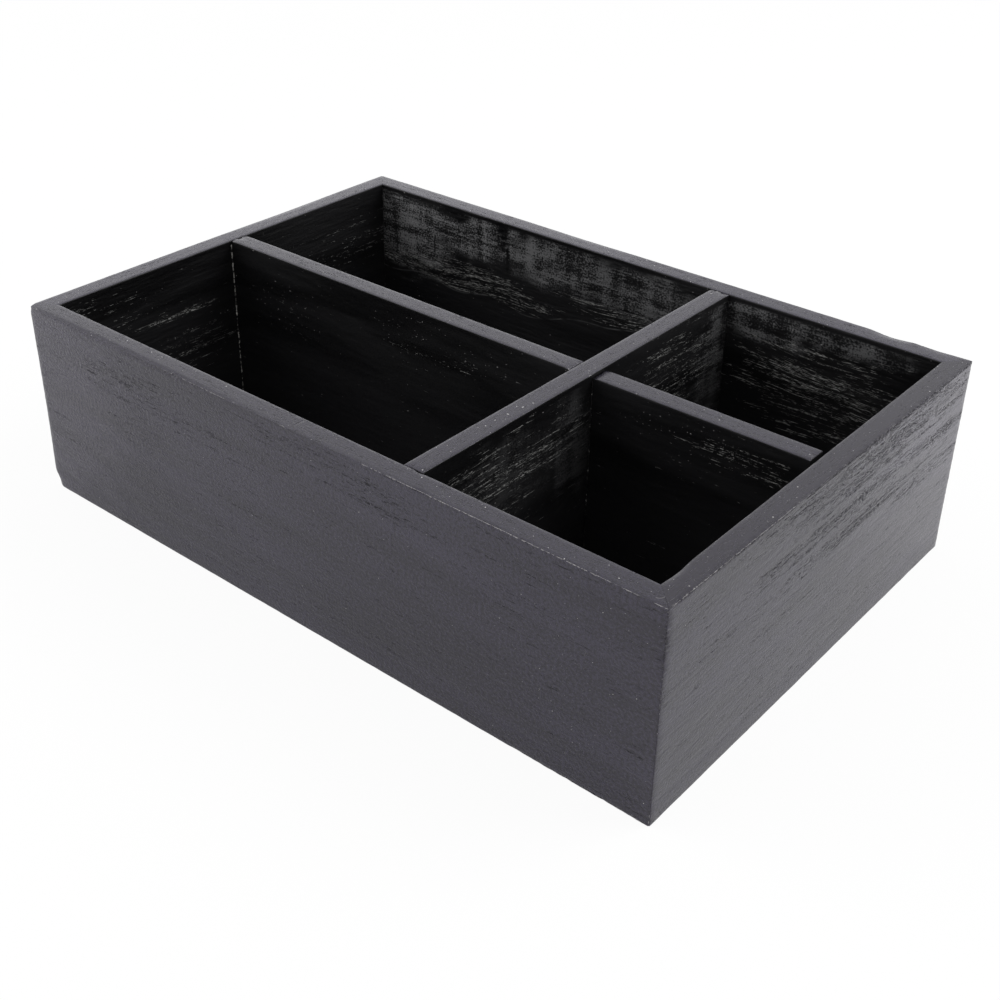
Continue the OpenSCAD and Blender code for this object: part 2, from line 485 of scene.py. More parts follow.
def new_effect(name, inputs, *outputs):
    """An empty node group with named sockets."""
    tree = bpy.data.node_groups.new(name, "ShaderNodeTree")
    for label, value in inputs.items():
        kind = "NodeSocketVector" if isinstance(value, tuple) else "NodeSocketFloat"
        tree.interface.new_socket(label, in_out='INPUT', socket_type=kind).default_value = value
    for label in outputs:
        tree.interface.new_socket(label, in_out='OUTPUT', socket_type="NodeSocketFloat")
    w = Wires(tree)
    return w, w.node("NodeGroupInput").outputs, w.node("NodeGroupOutput").inputs


ZERO = (0.0, 0.0, 0.0)


def grain_strokes(name):
    """Thin broken strokes along X, such as open pores or raised fibres. They gather in rows, and follow the grain
    as it wanders."""
    w, given, put = new_effect(name, {
        "Vector": ZERO, "Length": 0.006, "Width": 0.0005, "Share": 0.4, "Wander": 0.002, "Drift": 2.4}, "Strokes")
    axes = w.axes(given["Vector"])
    slow = w.less(w.cloud(given["Vector"], 0.08, 0.04, detail=1.0), 0.5)
    bent = w.join(axes[X], w.total(axes[Y], w.product(slow, given["Wander"])))
    row = w.cloud(bent, w.product(given["Length"], 3.0), given["Width"], detail=1.0)
    torn = w.cloud(bent, w.product(given["Length"], 0.6), w.product(given["Width"], 1.6), detail=1.0)
    crowd = w.less(w.cloud(bent, 0.07, 0.0022), 0.5)
    amount = w.total(given["Share"], w.product(crowd, given["Drift"]))
    gate = w.less(0.74, w.product(amount, 0.24))
    stroke = w.fade(row, gate, w.total(gate, 0.05))
    w.feed(put["Strokes"], w.product(stroke, w.fade(torn, 0.47, 0.55)))
    return w.tree


def wood_figure(name):
    """Broad bands and fine fibres of a board, drawn out along X, each around 0.5."""
    w, given, put = new_effect(
        name, {"Vector": ZERO, "Band Width": 0.012, "Fibre Width": 0.0004}, "Bands", "Fibres")
    for output, drawn_out, detail in (("Bands", 9.0, 3.0), ("Fibres", 18.0, 2.0)):
        width = given[output[:-1] + " Width"]
        w.feed(put[output], w.cloud(given["Vector"], w.product(width, drawn_out), width, detail))
    return w.tree


def paint_skin(name):
    """Height of the paint film, around 0.5: an orange peel, drawn out a little along the brush strokes."""
    w, given, put = new_effect(name, {"Vector": ZERO, "Peel": 0.0011, "Stroke": 1.2}, "Height")
    coarse = w.cloud(given["Vector"], w.product(given["Peel"], given["Stroke"]), given["Peel"])
    half = w.product(given["Peel"], 0.45)
    fine = w.cloud(given["Vector"], half, half, detail=1.0)
    w.feed(put["Height"], w.total(w.product(coarse, 0.65), w.product(fine, 0.35)))
    return w.tree


def arris_wear(name):
    """Worn paint and nicks along a box's edges, found by how far a point lies from the sides of the box."""
    w, given, put = new_effect(name, {
        "Vector": ZERO, "Low": ZERO, "High": ZERO, "Width": 0.0005, "Share": 0.5, "Grit": 0.0011}, "Wear", "Nicks")
    gaps = w.axes(w.vector('MINIMUM', w.vector('SUBTRACT', given["Vector"], given["Low"]),
                           w.vector('SUBTRACT', given["High"], given["Vector"])))
    less, more = w.lowest(gaps[X], gaps[Y]), w.highest(gaps[X], gaps[Y])
    edge = w.highest(less, w.lowest(more, gaps[Z]))
    grit = w.noise(given["Vector"], w.ratio(1.0, given["Grit"]), 3.0)
    runs_of_wear = w.noise(given["Vector"], 70.0, 2.0)
    width = w.product(given["Width"], w.fade(grit, 0.3, 0.7, 0.4, 1.5))
    line = w.fade(edge, w.product(width, 0.4), width, 1.0, 0.0)
    gate = w.less(0.75, w.product(given["Share"], 0.5))
    gated = w.fade(runs_of_wear, gate, w.total(gate, 0.1))
    w.feed(put["Wear"], w.product(line, gated, w.fade(grit, 0.34, 0.52)))
    wide = w.fade(edge, width, w.product(width, 2.6), 1.0, 0.0)
    w.feed(put["Nicks"], w.product(wide, w.fade(grit, 0.54, 0.62), gated))
    return w.tree


def dust_specks(name):
    """Scattered specks of dust in the paint, of two sizes."""
    w, given, put = new_effect(name, {"Vector": ZERO, "Spacing": 0.003, "Size": 0.00032, "Share": 0.2}, "Specks")
    axes = w.axes(given["Vector"])
    spots = []
    for finer in (1.0, 0.6):
        spacing = w.product(given["Spacing"], finer)
        cells = w.node("ShaderNodeTexVoronoi", {
            "Vector": w.join(w.ratio(axes[X], spacing), w.ratio(axes[Y], spacing)), "Scale": 1.0},
            voronoi_dimensions='2D').outputs
        dice = w.node("ShaderNodeSeparateColor", {0: cells["Color"]}).outputs
        radius = w.product(w.ratio(given["Size"], given["Spacing"]), w.fade(dice[1], 0.0, 1.0, 0.3, 1.0))
        spot = w.fade(cells["Distance"], w.product(radius, 0.4), radius, 1.0, 0.0)
        spots.append(w.product(spot, w.math('LESS_THAN', dice[0], given["Share"]),
                               w.fade(dice[2], 0.0, 1.0, 0.25, 1.0)))
    w.feed(put["Specks"], w.highest(*spots))
    return w.tree


def soft_patch(name):
    """A soft patch round a point of a sheet, with a ragged outline."""
    w, given, put = new_effect(name, {"Vector": ZERO, "Centre": ZERO, "Reach": (0.01, 0.01, 1.0)}, "Patch")
    flat = w.vector('MULTIPLY', w.vector('SUBTRACT', given["Vector"], given["Centre"]), (1.0, 1.0, 0.0))
    torn = w.less(w.cloud(given["Vector"], 0.014, 0.006, detail=3.0), 0.5)
    gap = w.total(w.vector('LENGTH', w.vector('DIVIDE', flat, given["Reach"])), w.product(torn, 0.9))
    w.feed(put["Patch"], w.fade(gap, 0.45, 1.05, 1.0, 0.0))
    return w.tree


def rubbed_paint(name):
    """Where paint is rubbed grey, which on the inner faces also stands in for their sheen as painted sheen: a fine
    speckle in rows along X, with thin lines and soft bars that the rubbing missed."""
    w, given, put = new_effect(name, {"Vector": ZERO, "Cover": 0.5}, "Rub")
    rows, lines, blots = (0.03, 0.0011, 1.0, 0.8), (0.006, 0.0009, 2.0, 0.5), (0.022, 0.006, 3.0, 1.5)
    bars, speckle = (0.006, 0.06, 2.0, 1.1), (0.001, 0.0008, 1.0, 1.8)
    cover = given["Cover"]
    for width, height, detail, weight in (rows, lines, blots, bars, speckle):
        part = w.less(w.cloud(given["Vector"], width, height, detail), 0.5)
        cover = w.total(cover, w.product(part, weight))
    w.feed(put["Rub"], w.fade(cover, 0.12, 1.06))
    return w.tree


def rgba(rgb, strength=1.0):
    return (*(c * strength for c in rgb), 1.0)


def new_material(name, grain, lie="upright"):
    """A material with its Principled shader, the piece's own coordinates, and the same as a sheet."""
    material = bpy.data.materials.new(name)
    material.use_nodes = True
    w = Wires(material.node_tree)
    place = w.node("ShaderNodeTexCoord").outputs["Object"]
    axes = w.axes(place)
    sheet = w.join(*(axes["XYZ".index(axis)] for axis in SHEETS[grain, lie]))
    return material, w, material.node_tree.nodes["Principled BSDF"].inputs, place, sheet


def finish(w, shader, colour, rough, height, depth, strength=1.0):
    """Feeds a finish into the shader: colour, roughness, and a bump of this depth in mm."""
    w.feed(shader["Base Color"], colour)
    w.feed(shader["Roughness"], rough)
    bump = w.node("ShaderNodeBump", {"Height": height, "Strength": strength, "Distance": depth * MM})
    w.feed(shader["Normal"], bump.outputs[0])


def add_sheen(shader, paint):
    """The outside paint's tinted satin sheen."""
    shader["Specular Tint"].default_value = rgba(paint.sheen)
    shader["Specular IOR Level"].default_value = paint.outside_gloss


def outside_paint(name, grain, pores=0.1, pore_and_shade_spots=(), peel=0.5, peel_spots=(), wear=0.3, wear_spots=(),
                  dust=0.05, dust_spots=(), painted_sheen_spots=(), pore_size=1.0, roughness=0.21):
    """Satin black paint on an outer face: grain that shows through in drifts, worn arrises, a little dust, and
    pale patches of painted sheen where the reflection shows brighter. Dense pore spots can also lay a painted
    shadow line."""
    paint = bpy.context.scene.organizer_paint
    material, w, shader, place, sheet = new_material(name, grain)
    figure = w.effect(wood_figure, vector=sheet)
    skin = w.effect(paint_skin, vector=sheet)[0]
    # Pore spots can also lay a painted shadow: dense dark pores in a thin band along an arris.
    share = w.patches(sheet, pore_and_shade_spots, pores)
    long, short = (
        w.effect(grain_strokes, vector=sheet, length=run * MM * pore_size, width=width * MM * pore_size,
                 share=share)[0]
        for run, width in ((3.6, 0.42), (1.6, 0.36)))
    open_pores_and_shade = w.highest(long, w.product(short, 0.7))
    worn = w.effect(arris_wear, vector=place, low=CAD_BOX[0], high=CAD_BOX[1],
                    share=w.patches(sheet, wear_spots, wear))
    specks = w.effect(dust_specks, vector=sheet, size=0.00024, share=w.patches(sheet, dust_spots, dust))[0]

    tone = w.total(w.product(skin, 0.75), w.product(figure["Bands"], 0.25))
    ground = w.mix(w.fade(tone, 0.38, 0.62), rgba(paint.outside, 0.35), rgba(paint.outside, 1.9))
    # The painted sheen spots lay a pale painted highlight where the paint's reflection shows brighter.
    colour = w.layer(ground, (w.patches(sheet, painted_sheen_spots), rgba(paint.bloom)), (open_pores_and_shade, rgba(paint.pore)),
                     (worn["Wear"], rgba(paint.worn)), (specks, rgba(paint.dust)))
    rough = w.total(w.fade(skin, 0.38, 0.62, roughness + 0.05, roughness - 0.04), w.product(open_pores_and_shade, 0.65),
                    w.product(worn["Wear"], 0.3))
    height = w.total(w.product(skin, w.patches(sheet, peel_spots, peel)), w.product(figure["Fibres"], 0.12),
                     w.product(open_pores_and_shade, -0.5), w.product(worn["Nicks"], -0.4), w.product(specks, 0.2))
    add_sheen(shader, paint)
    finish(w, shader, colour, rough, height, depth=0.42)
    return material


def ring_mark(w, place, top, x, y, radius):
    """The right half of a thin round scratch on a rim: its middle and radius, in mm."""
    away = w.vector('SUBTRACT', place, (x * MM, y * MM, top))
    reach = w.vector('LENGTH', w.vector('MULTIPLY', away, (1.0, 1.0, 0.0)))
    off = w.math('ABSOLUTE', w.less(reach, radius * MM))
    arc = w.product(w.fade(off, 0.12 * MM, 0.3 * MM, 1.0, 0.0), w.math('GREATER_THAN', w.axes(away)[X], 0.0))
    return w.product(arc, 0.35)


def filler_dot(w, place, sheet, top, x, y, half_x, half_y):
    """A fleck of bare filler on a rim: its middle, and half its length and width, in mm."""
    away = w.vector('SUBTRACT', place, (x * MM, y * MM, top))
    gap = w.vector('LENGTH', w.vector('DIVIDE', away, (half_x * MM, half_y * MM, 1.0)))
    return w.fade(w.total(gap, w.cloud(sheet, 0.0006)), 1.0, 1.4, 0.6, 0.0)


def rim_paint(name, grain, node, wear=0.35, tone=1.0, ring=None, dots=(), seam_shade=False):
    """The same paint on a sanded rim: fine grit drawn out along the board, a few specks, a light line along the
    arrises, and if wanted a ring mark, dots of filler, and painted shade: dark lines at the board's ends, where
    the groove to the next board falls into shade."""
    paint = bpy.context.scene.organizer_paint
    low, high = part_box(node)
    material, w, shader, place, sheet = new_material(name, grain, "flat")
    figure = w.effect(wood_figure, vector=sheet, fibre_width=0.00028)
    strokes = w.effect(grain_strokes, vector=sheet, length=0.0024, width=0.0005, share=0.5)[0]
    worn = w.effect(arris_wear, vector=place, low=low, high=high, width=0.0004, share=wear)
    specks = w.effect(dust_specks, vector=sheet, spacing=0.0032, size=0.00034, share=0.1)[0]
    grit = w.cloud(sheet, 0.0008, 0.0006)

    ground = w.mix(w.fade(figure["Fibres"], 0.36, 0.66), rgba(paint.outside, 0.4 * tone),
                   rgba(paint.outside, 1.7 * tone))
    layers = [(w.fade(grit, 0.45, 0.7, 0.0, 0.7), rgba(paint.outside, 3.4 * tone)),
              (w.product(strokes, 0.7), rgba(paint.pore)), (worn["Wear"], rgba(paint.worn, 0.7))]
    if ring:
        layers.append((ring_mark(w, place, high.z, *ring), rgba(paint.worn, 0.6)))
    layers += [(filler_dot(w, place, sheet, high.z, *dot), rgba(paint.dust)) for dot in dots]
    layers.append((specks, rgba(paint.dust)))
    height = w.total(w.product(grit, 0.4), w.product(figure["Fibres"], 0.5), w.product(strokes, -0.5))
    rough = w.total(w.fade(grit, 0.36, 0.64, 0.26, 0.14), w.product(strokes, 0.4))
    if seam_shade:
        # Painted shade: a dark line across the rim at each end, where the groove to the next board falls into
        # shade.
        run = X if grain == 'X' else Y
        along = w.axes(place)[run]
        gap = w.lowest(w.less(along, low[run]), w.less(high[run], along))
        seam = w.product(w.fade(gap, 0.2 * MM, 0.55 * MM, 1.0, 0.0), w.fade(w.cloud(sheet, 0.0018), 0.36, 0.5))
        layers.append((seam, rgba(paint.pore, 0.5)))
        rough = w.total(rough, w.product(seam, 0.6))
        height = w.less(height, w.product(seam, 2.0))
    add_sheen(shader, paint)
    finish(w, shader, w.layer(ground, *layers), rough, height, depth=0.1)
    return material


def above_tide(w, sheet, level, rise, start, end, until):
    """How far a point lies above the edge of a stain, which rises from a level between start and end, in mm. The
    stain stops at its until."""
    along, up, _ = w.axes(sheet)
    wave = w.product(w.math('SINE', w.product(w.total(along, start), 137.0)), 1.7 * MM)
    over = w.less(up, w.total(w.fade(along, start, end, level, level + rise), wave))
    return w.total(over, w.fade(along, until, until + 5 * MM, 0.0, TOP * MM))


def inside_paint(name, grain, strokes=0.1, stroke_spots=(), rub_and_sheen_spots=(), rub_top=88.2, glint_flecks=0.05,
                 glint_fleck_spots=(), cracks=(), tide=None, stroke_length=4.5, wander=0.003, lie="upright"):
    """Thin black paint on an inner face: raised fibres are coloured in broken strokes of painted glint, flecks of
    painted glint lie scattered, and patches are greyed up to a top, partly rubbed paint and partly painted sheen.
    A crack
    is a fine dark line up the face: its place, half its length and half its width, in mm. A tide is the faint edge
    of a stain, with the strokes above it only."""
    paint = bpy.context.scene.organizer_paint
    material, w, shader, place, sheet = new_material(name, grain, lie)
    figure = w.effect(wood_figure, vector=sheet)
    share = w.patches(sheet, stroke_spots, strokes)
    long, short = (
        w.effect(grain_strokes, vector=sheet, length=run * stroke_length * MM, width=width * MM, share=share,
                 wander=wander)[0]
        for run, width in ((1.0, 0.42), (0.4, 0.36)))
    raised = w.highest(long, w.product(short, 0.7))
    drawn_out = w.vector('MULTIPLY', sheet, (0.6, 1.0, 1.0))
    # Flecks of painted glint: pale specks where the grain would catch the light.
    fleck_glints = w.effect(dust_specks, vector=drawn_out, spacing=0.0028, size=0.0003,
                       share=w.patches(sheet, glint_fleck_spots, glint_flecks))[0]

    ground = w.mix(w.fade(figure["Bands"], 0.35, 0.7), rgba(paint.inside, 0.8), rgba(paint.inside, 1.5))
    layers = [(w.fade(w.axes(place)[Z], 0.065, 0.02), rgba(paint.inside, 2.6))]
    if tide:
        over = above_tide(w, sheet, *(size * MM for size in tide))
        raised = w.product(raised, w.fade(over, -0.5 * MM, 1.5 * MM))
        edge = w.product(w.fade(w.math('ABSOLUTE', over), 0.1 * MM, 0.5 * MM, 1.0, 0.0),
                         w.fade(w.cloud(sheet, 0.012, 0.01), 0.4, 0.6))
        layers.append((w.product(edge, 0.24), rgba(paint.scuff)))
    # Greyed patches below the top: partly rubbed paint, partly painted sheen.
    if rub_and_sheen_spots:
        rub_and_sheen = w.effect(rubbed_paint, vector=sheet, cover=0.5)[0]
        below = w.fade(w.axes(sheet)[Y], (rub_top - 1.2) * MM, rub_top * MM, 1.0, 0.0)
        layers.append((w.product(rub_and_sheen, below, w.patches(sheet, rub_and_sheen_spots)), rgba(paint.scuff)))
    # Painted glints: the raised fibres' strokes are coloured pale where they would catch the light.
    bright = w.product(raised, w.fade(w.cloud(sheet, 0.0018, 0.0008), 0.36, 0.66, 0.3, 1.0))
    layers += [(bright, rgba(paint.fibre)), (fleck_glints, rgba(paint.worn))]
    height = w.total(w.product(figure["Fibres"], 0.4), w.product(raised, 0.6))
    for x, y, half_long, half_wide in cracks:
        line = w.effect(soft_patch, vector=sheet, centre=(x * MM, y * MM, 0.0),
                        reach=(half_wide * MM, half_long * MM, 1.0))[0]
        broken = w.product(line, w.fade(w.cloud(sheet, 0.002, 0.003), 0.3, 0.5, 0.4, 1.0))
        layers.append((broken, rgba(paint.pore, 0.5)))
        height = w.less(height, w.product(line, 0.3))
    shader["Specular IOR Level"].default_value = paint.inside_gloss
    finish(w, shader, w.layer(ground, *layers), w.fade(figure["Bands"], 0.3, 0.7, 0.36, 0.5), height, depth=0.16)
    return material


def glue_paint(name, missed):
    """A bead of glue that the paint covers in part."""
    paint, beads = bpy.context.scene.organizer_paint, bpy.context.scene.organizer_beads
    material, w, shader, place, _ = new_material(name, 'X')
    lumps, fine = w.noise(place, 620.0, 2.0), w.noise(place, 2600.0, 2.0)
    bare = w.fade(lumps, 0.72 - 0.3 * missed, 0.8 - 0.3 * missed)
    colour = w.mix(w.product(bare, w.fade(fine, 0.35, 0.6, 0.3, 1.0)), rgba(paint.inside, 2.0),
                   rgba(beads.colour, 0.8 + 0.8 * missed))
    finish(w, shader, colour, w.fade(fine, 0.3, 0.7, 0.3, 0.5), w.total(lumps, fine), depth=0.1)
    return material


def underside_paint(name):
    """The underside: thin black paint over bare grain, with rubbed spots where it stood."""
    paint = bpy.context.scene.organizer_paint
    material, w, shader, _, sheet = new_material(name, 'X', "flat")
    figure = w.effect(wood_figure, vector=sheet, band_width=0.016)
    pores = w.effect(grain_strokes, vector=sheet, length=0.006, width=0.0005, share=0.35)[0]
    rub_and_sheen = w.effect(rubbed_paint, vector=sheet, cover=0.3)[0]
    ground = w.mix(w.fade(figure["Bands"], 0.35, 0.65), rgba(paint.outside, 0.7), rgba(paint.outside, 1.2))
    colour = w.layer(ground, (w.product(rub_and_sheen, 0.5), rgba(paint.scuff)), (pores, rgba(paint.pore)))
    height = w.total(w.product(figure["Fibres"], 0.4), w.product(pores, -0.7))
    finish(w, shader, colour, w.fade(figure["Bands"], 0.3, 0.7, 0.42, 0.55), height, depth=0.15)
    return material


def brad_steel(name):
    """Bright steel with fine scratches and a few dull stains."""
    brads = bpy.context.scene.organizer_brads
    material, w, shader, place, sheet = new_material(name, 'X', "flat")
    scratches = w.noise(place, 1800.0, 3.0)
    ground = w.mix(w.fade(scratches, 0.35, 0.7), rgba(brads.steel), rgba(brads.steel, 0.6))
    colour = w.mix(w.fade(w.cloud(sheet, 0.002), 0.55, 0.7, 0.0, 0.6), ground, rgba(brads.steel, 0.3))
    shader["Metallic"].default_value = 1.0
    finish(w, shader, colour, w.fade(scratches, 0.3, 0.7, 0.28, 0.5), scratches, depth=0.05, strength=0.4)
    return material


# How each wall board looks outside, inside and on its rim, then the dividers, and the compartments' floor. A spot
# is a soft patch on the board's sheet: place along it and up it, reach along and up, all in mm, and force.
WALL_LOOKS = {
    "front_board": (
        dict(pores=-0.1, pore_and_shade_spots=[(-92, 70, 60, 12, 0.45), (10, 82, 50, 7, 0.5), (45, 76, 30, 8, 0.45)],
             peel=0.6, peel_spots=[(-125, 55, 60, 60, 0.9), (-60, 70, 70, 26, 0.4)],
             wear=0.3, wear_spots=[(100, TOP, 75, 8, 0.6), (-58, TOP, 26, 8, 0.8), (HALF_X, 78, 8, 26, 0.8),
                                   (150, 0, 50, 8, 0.6)],
             dust=0.012, dust_spots=[(128, 50, 36, 40, 0.09), (60, 70, 60, 14, 0.05)],
             # Painted sheen, a painted reflection, lightens the face's left end.
             painted_sheen_spots=[(-165, 55, 70, 70, 0.03)]),
        dict(),
        dict(wear=0.3, tone=0.75, ring=(158.4, -105.6, 1.9))),
    "back_board": (
        dict(pores=0.0, pore_and_shade_spots=[(40, 60, 70, 16, 0.4), (-80, 40, 60, 14, 0.35)]),
        dict(strokes=-0.6, stroke_spots=[(-100, 52, 76, 15, 1.35), (-5, 59, 55, 8, 1.2), (104, 58, 60, 30, 1.2)],
             # The rub spots grey the face's upper part: partly rubbed paint, partly painted sheen.
             rub_and_sheen_spots=[(-138, 70, 38, 27, 1.0), (-92, 79, 40, 17, 0.92), (-40, 77, 44, 17, 0.7),
                        (5, 75, 46, 16, 0.62), (70, 82, 30, 13, 0.7), (110, 85, 40, 8, 0.5)],
             cracks=[(-119, 66, 7, 0.7), (-74, 82, 9, 5.0), (-70, 71, 11, 1.6), (-104, 86, 4, 14.0)],
             tide=(46, 8.5, -45, -12, 42), stroke_length=9.0, wander=0.01),
        dict(wear=0.25)),
    "left_board": (
        dict(pores=0.05, pore_and_shade_spots=[(20, 50, 60, 14, 0.4)]),
        dict(strokes=-0.6, stroke_spots=[(-38, 64, 34, 4, 1.1), (-26, 46, 26, 22, 0.75), (-68, 75, 14, 14, 0.7),
                                         (-90, 84, 14, 8, 0.7), (75, 62, 40, 20, 0.6)],
             glint_flecks=0.01, glint_fleck_spots=[(-60, 76, 30, 12, 0.12), (-30, 56, 40, 14, 0.1)]),
        dict(wear=0.25)),
    "right_board": (
        dict(pores=-0.1, pore_and_shade_spots=[(30, 82, 110, 13, 1.05), (30, 67, 120, 6, 1.0), (10, 57, 110, 5, 1.0),
                                     # The last two spots lay a painted shadow along the top arris.
                                     (80, 52, 44, 8, 0.8), (45, 89.4, 95, 1.5, 2.4), (-60, 89.6, 60, 1.0, 1.6)],
             peel=0.3, wear=0.2, wear_spots=[(-70, TOP, 50, 8, 0.8), (-HALF_Y, 70, 8, 30, 0.6)], dust=0.02,
             # Painted sheen, a painted reflection, lightens the face's far end.
             painted_sheen_spots=[(110, 60, 110, 90, 0.032), (105, 80, 80, 60, 0.055)], pore_size=0.85, roughness=0.18),
        dict(),
        dict(wear=0.4, tone=0.5)),
}
DIVIDER_LOOKS = {
    "cross_divider": dict(
        strokes=-0.45, stroke_spots=[(-52, 68, 60, 22, 0.92), (65, 66, 50, 26, 0.78)], stroke_length=6.0,
        rub_and_sheen_spots=[(-56, 66, 52, 22, 0.12), (-12, 62, 16, 30, 0.22), (92, 64, 22, 34, 0.5)]),
    "left_divider": dict(
        strokes=-0.6, stroke_spots=[(-118, 62, 20, 8, 0.4), (-25, 74, 40, 9, 0.45)],
        glint_flecks=0.02, glint_fleck_spots=[(-115, 66, 40, 16, 0.25), (-25, 76, 50, 12, 0.3)]),
    "right_divider": dict(
        strokes=-0.6, stroke_spots=[(125, 76, 34, 9, 0.9), (90, 20, 30, 8, 0.4)],
        glint_flecks=0.02, glint_fleck_spots=[(100, 76, 50, 14, 0.25)]),
}
FLOOR_LOOK = dict(
    strokes=-0.5, stroke_spots=[(-110, 60, 90, 50, 0.85), (-20, -50, 110, 44, 0.75), (105, 56, 60, 50, 0.9),
                                (110, -60, 50, 44, 0.75)],
    rub_and_sheen_spots=[(-60, 20, 90, 40, 0.14), (100, 10, 60, 80, 0.14)], rub_top=HALF_Y, glint_flecks=0.05)

# Dots of filler on the dividers' tops: middle, half the length and half the width, in mm.
DOTS = {
    "cross_divider": ((51.5, -48.2, 0.7, 0.4), (52.3, -40.2, 0.4, 0.7), (53.2, -35.2, 0.5, 0.4),
                      (50.8, -54.9, 0.3, 0.5), (56.0, -2.5, 0.3, 0.9), (49.6, 96.0, 0.6, 0.4)),
    "left_divider": ((-42.6, -5.5, 0.5, 0.4), (45.6, -9.4, 0.9, 0.4), (46.0, -3.6, 0.5, 0.7)),
    "right_divider": (),
}

# Where the frame is worn down, by how much along each axis in mm, and the spots: middle, reach and force.
WORN_PLACES = {
    "front top": ((0, 0.4, -0.4), [((-100, -HALF_Y, TOP), (95, 2.4, 2.4), 1.0)]),
    "front left edge": ((0.35, 0.35, 0), [((-HALF_X, -HALF_Y, 45), (2.5, 2.5, 60), 1.0)]),
    "front left top": ((0.35, 0.35, -0.4), [((-HALF_X, -HALF_Y, TOP), (6, 4, 4), 1.0)]),
    "front left foot": ((1.2, 1.2, 1.1), [((-HALF_X, -HALF_Y, 0), (5, 5, 9), 1.0)]),
    "back top": ((0, -0.4, -0.6), [((130, HALF_Y, TOP), (13, 4.5, 4), 1.0), ((150, HALF_Y, TOP), (16, 4, 3), 0.5),
                                   ((-30, HALF_Y, TOP), (40, 3, 2.5), 0.3)]),
    "left top": ((0.2, 0, -0.2), [((-HALF_X, 40, TOP), (3, 50, 2.5), 1.0)]),
    "right inner": ((0.3, 0, -0.3), [((HALF_X - WALL, -92, TOP), (3, 10, 3), 1.0)]),
}
CHIPS = [((63, -HALF_Y, TOP), (5, 1.8, 1.9), 1.0), ((-66, -HALF_Y, TOP), (9, 1.3, 1.4), 0.6),
         ((96, -HALF_Y, TOP), (5, 1.3, 1.4), 0.7), ((110, -HALF_Y, TOP), (3, 1.3, 1.2), 0.7),
         ((137, -HALF_Y, TOP), (4, 1.2, 1.1), 0.6), ((HALF_X, -HALF_Y, 76), (1.8, 1.8, 20), 0.9),
         ((HALF_X, -70, TOP), (1.4, 45, 1.4), 0.6), ((HALF_X, -102, TOP), (1.6, 9, 1.6), 0.9),
         ((HALF_X, 40, TOP), (1.4, 70, 1.3), 0.5), ((56, -HALF_Y + WALL, TOP), (5, 1.5, 1.3), 0.8),
         ((130, -HALF_Y, 0), (40, 1.5, 1.5), 0.7)]

# The cells of the patterns that are cut into the faces, in mm, and from where to where in its range one cuts.
OUTER_SWELL, INNER_SWELL = (30, 9, 9), (26, 8, 8)
OUTER_GRAIN, OUTER_GRAIN_CUT = (10, 1.6, 1.6), (0.5, 0.75)
INNER_GRAIN, INNER_GRAIN_CUT = (9, 1.4, 1.4), (0.42, 0.72)

# How deep that grain goes, as a share of the boards' grain depth.
OUTER_GRAIN_SHARE, INNER_GRAIN_SHARE = 0.6, 1.5
CHIP_CUT = dict(start=0.4, full=0.66, detail=1)

# A bead's paint, how far it stands out of its corner in mm, and how deep it is broken up, as a share of its
# radius.
HIDDEN_BEAD = (0, 0.1, 0.95)
SHOWN_BEADS = {"front_left": (2, 0.35, 0.7), "front_right": (1, 0.3, 0.8)}


class OrganizerStep(bpy.types.Operator):
    """One step of the organizer."""
    bl_options = {'REGISTER', 'UNDO'}


# Each lamp: where it hangs, its width and height, and the setting that holds its power.
LAMPS = {
    "key_light": ((0.9, 0.9, 1.3), 1.0, 1.0, "key_power"),
    "fill_light": ((-1.2, -0.8, 1.0), 1.4, 1.4, "fill_power"),
    "rim_light": ((-1.59, 1.29, 0.45), 1.6, 0.7, "rim_power"),
}
WHITE = (1, 1, 1, 1)


